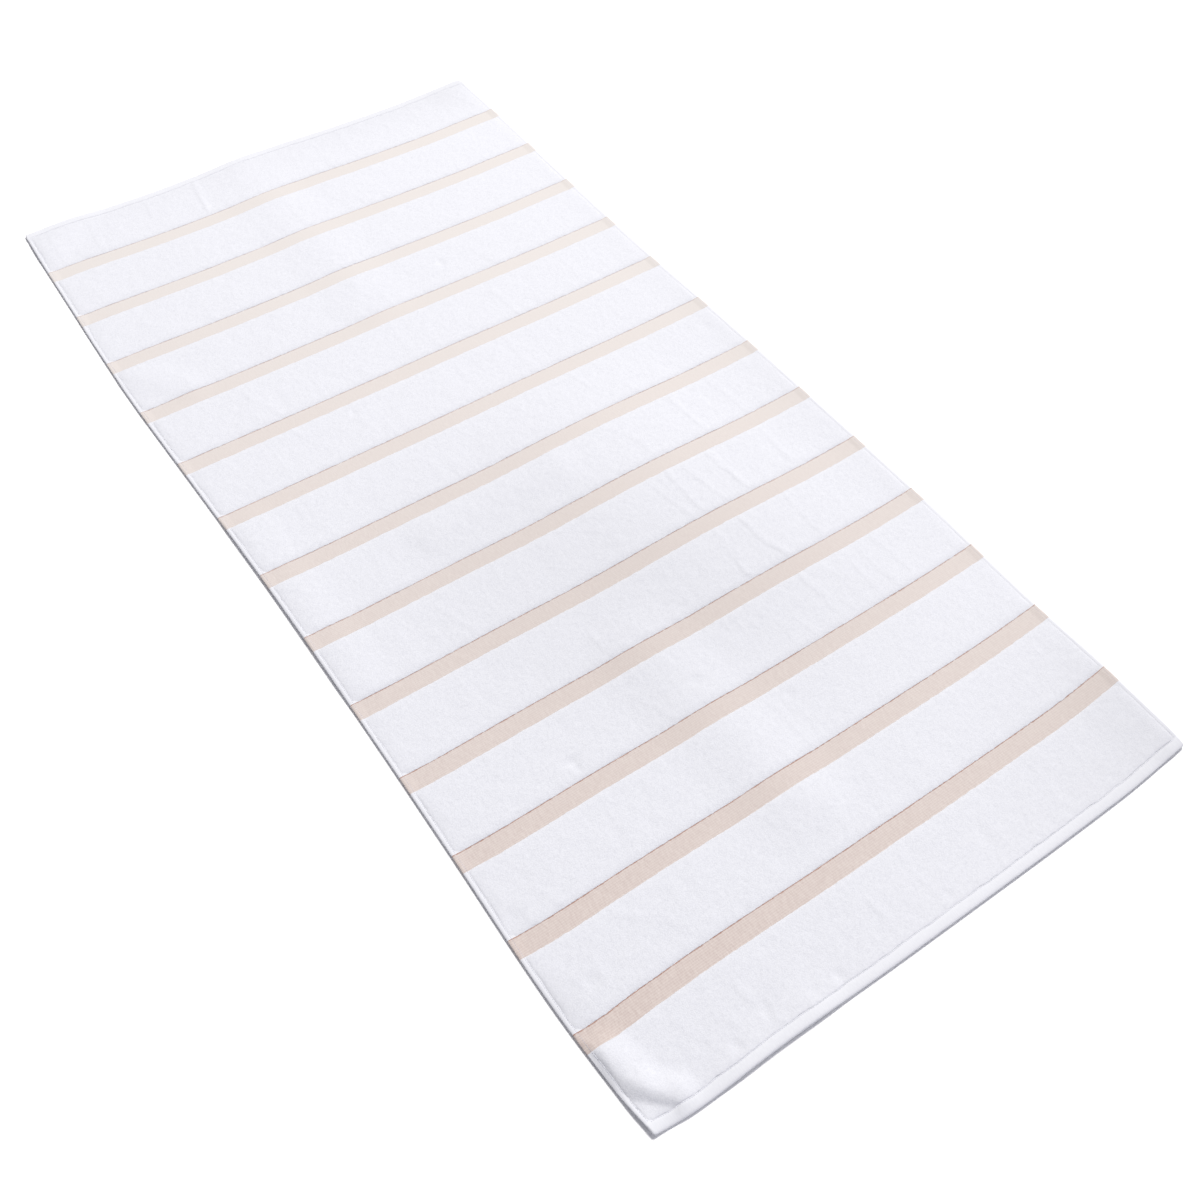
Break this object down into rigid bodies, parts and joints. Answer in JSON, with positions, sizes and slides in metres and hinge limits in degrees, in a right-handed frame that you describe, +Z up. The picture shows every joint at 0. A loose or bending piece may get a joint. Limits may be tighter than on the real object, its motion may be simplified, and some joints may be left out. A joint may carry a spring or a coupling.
{
  "type": "beach towel",
  "caption": "Flat terry beach towel with blocks of pile, narrow flat-woven beige cross stripes, folded side hems and wider end hems, lying in soft uneven folds.",
  "frame": {"origin": "on the floor, under the middle of the towel's box", "axes": "+Y along the towel's length to its far end, +X across it to the right, +Z up from the floor"},
  "size_m": [0.8666, 1.787, 0.012],
  "materials": {
    "terry": "white cotton terry, looped pile",
    "stripe": "beige flat-woven cotton",
    "hem": "white flat-woven cotton, folded and stitched"
  },
  "bodies": {
    "root": {"towel": "terry"}
  },
  "joints": []
}
